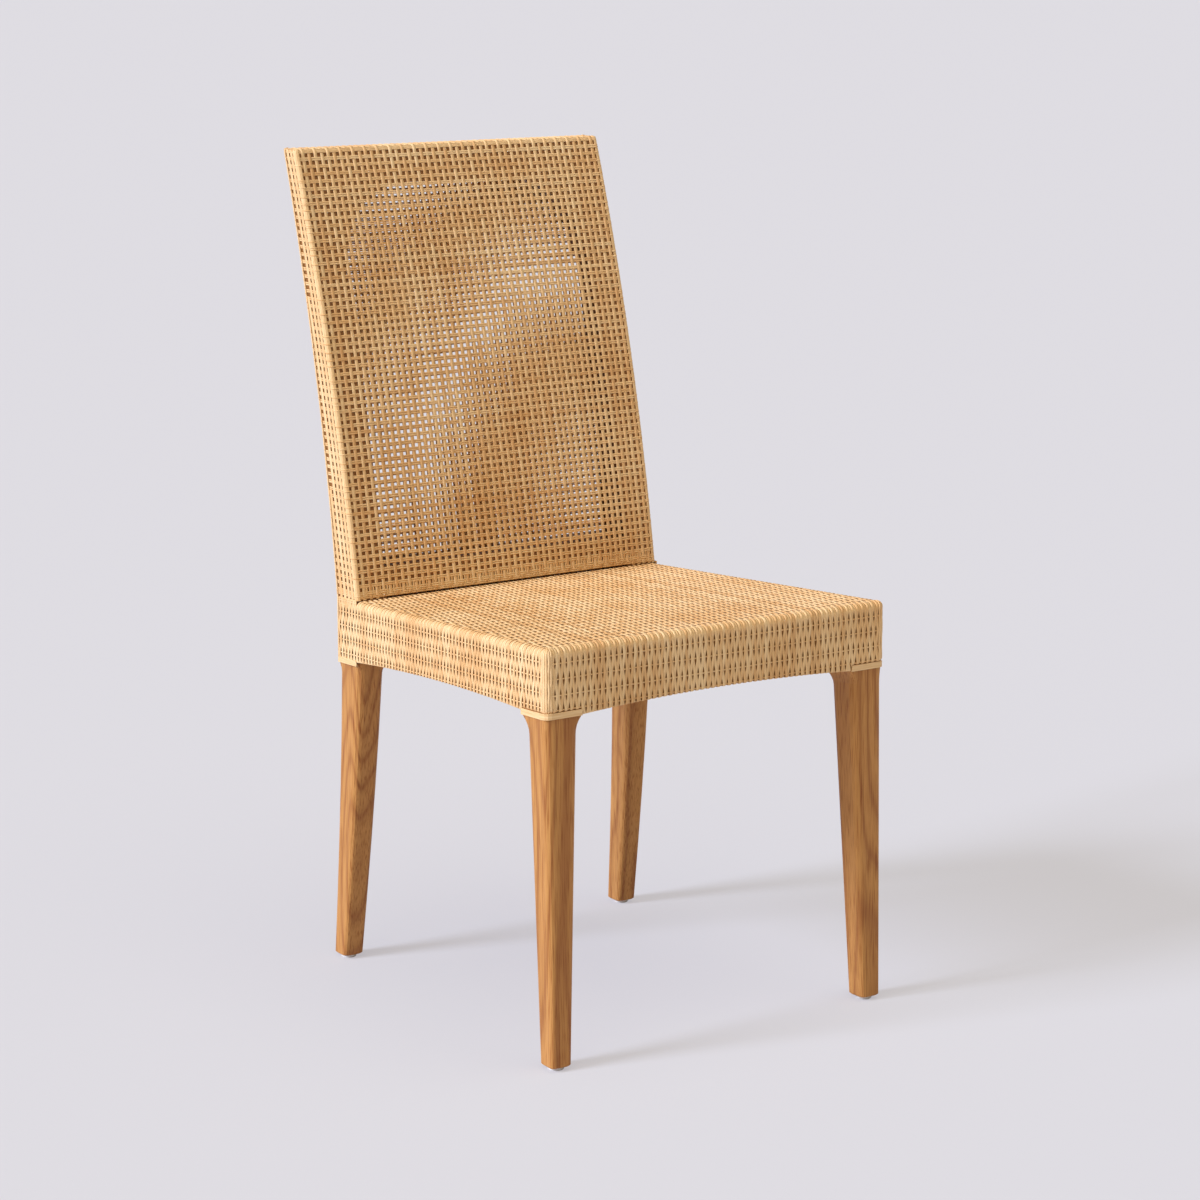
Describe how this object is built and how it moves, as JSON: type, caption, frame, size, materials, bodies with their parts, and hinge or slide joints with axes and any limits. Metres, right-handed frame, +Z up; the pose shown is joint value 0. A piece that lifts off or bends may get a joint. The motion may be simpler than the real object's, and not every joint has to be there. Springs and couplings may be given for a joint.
{
  "type": "cane back dining chair",
  "caption": "Dining chair with a swept back and a sloped seat wrapped in woven cane over a wooden frame, on tapered square legs.",
  "frame": {"origin": "on the floor, under the middle of the chair's outer box", "axes": "+Z up, -Y towards the front of the seat, +X towards the right side as seen from the front"},
  "size_m": [0.4644, 0.5919, 0.971],
  "materials": {
    "teak": "oiled teak, satin",
    "beech": "planed, unfinished",
    "woven_cane": "natural cane peel, woven",
    "smooth_cane": "natural cane peel, laid flat",
    "nylon": "moulded",
    "steel": "zinc plated"
  },
  "bodies": {
    "root": {"front_left_leg": "teak", "front_right_leg": "teak", "rear_left_leg": "teak", "rear_right_leg": "teak", "front_seat_rail": "teak", "rear_seat_rail": "teak", "left_seat_rail": "teak", "right_seat_rail": "teak", "back_top_rail": "teak", "back_lower_rail": "teak", "front_left_corner_block": "beech", "front_right_corner_block": "beech", "rear_left_corner_block": "beech", "rear_right_corner_block": "beech", "seat_top_cane": "woven_cane", "front_apron_cane": "woven_cane", "rear_apron_cane": "woven_cane", "left_apron_cane": "woven_cane", "right_apron_cane": "woven_cane", "back_front_cane": "woven_cane", "back_rear_cane": "woven_cane", "back_left_edge_cane": "woven_cane", "back_right_edge_cane": "woven_cane", "back_top_edge_cane": "woven_cane", "front_left_seat_corner_cane": "smooth_cane", "front_right_seat_corner_cane": "smooth_cane", "front_left_leg_trim": "smooth_cane", "front_right_leg_trim": "smooth_cane", "rear_left_leg_trim": "smooth_cane", "rear_right_leg_trim": "smooth_cane", "back_front_left_corner_cane": "smooth_cane", "back_front_right_corner_cane": "smooth_cane", "back_rear_left_corner_cane": "smooth_cane", "back_rear_right_corner_cane": "smooth_cane", "front_left_foot_glide": "nylon", "front_right_foot_glide": "nylon", "rear_left_foot_glide": "nylon", "rear_right_foot_glide": "nylon", "front_left_corner_block_screw_0": "steel", "front_left_corner_block_screw_1": "steel", "front_right_corner_block_screw_0": "steel", "front_right_corner_block_screw_1": "steel", "rear_left_corner_block_screw_0": "steel", "rear_left_corner_block_screw_1": "steel", "rear_right_corner_block_screw_0": "steel", "rear_right_corner_block_screw_1": "steel"}
  },
  "joints": []
}
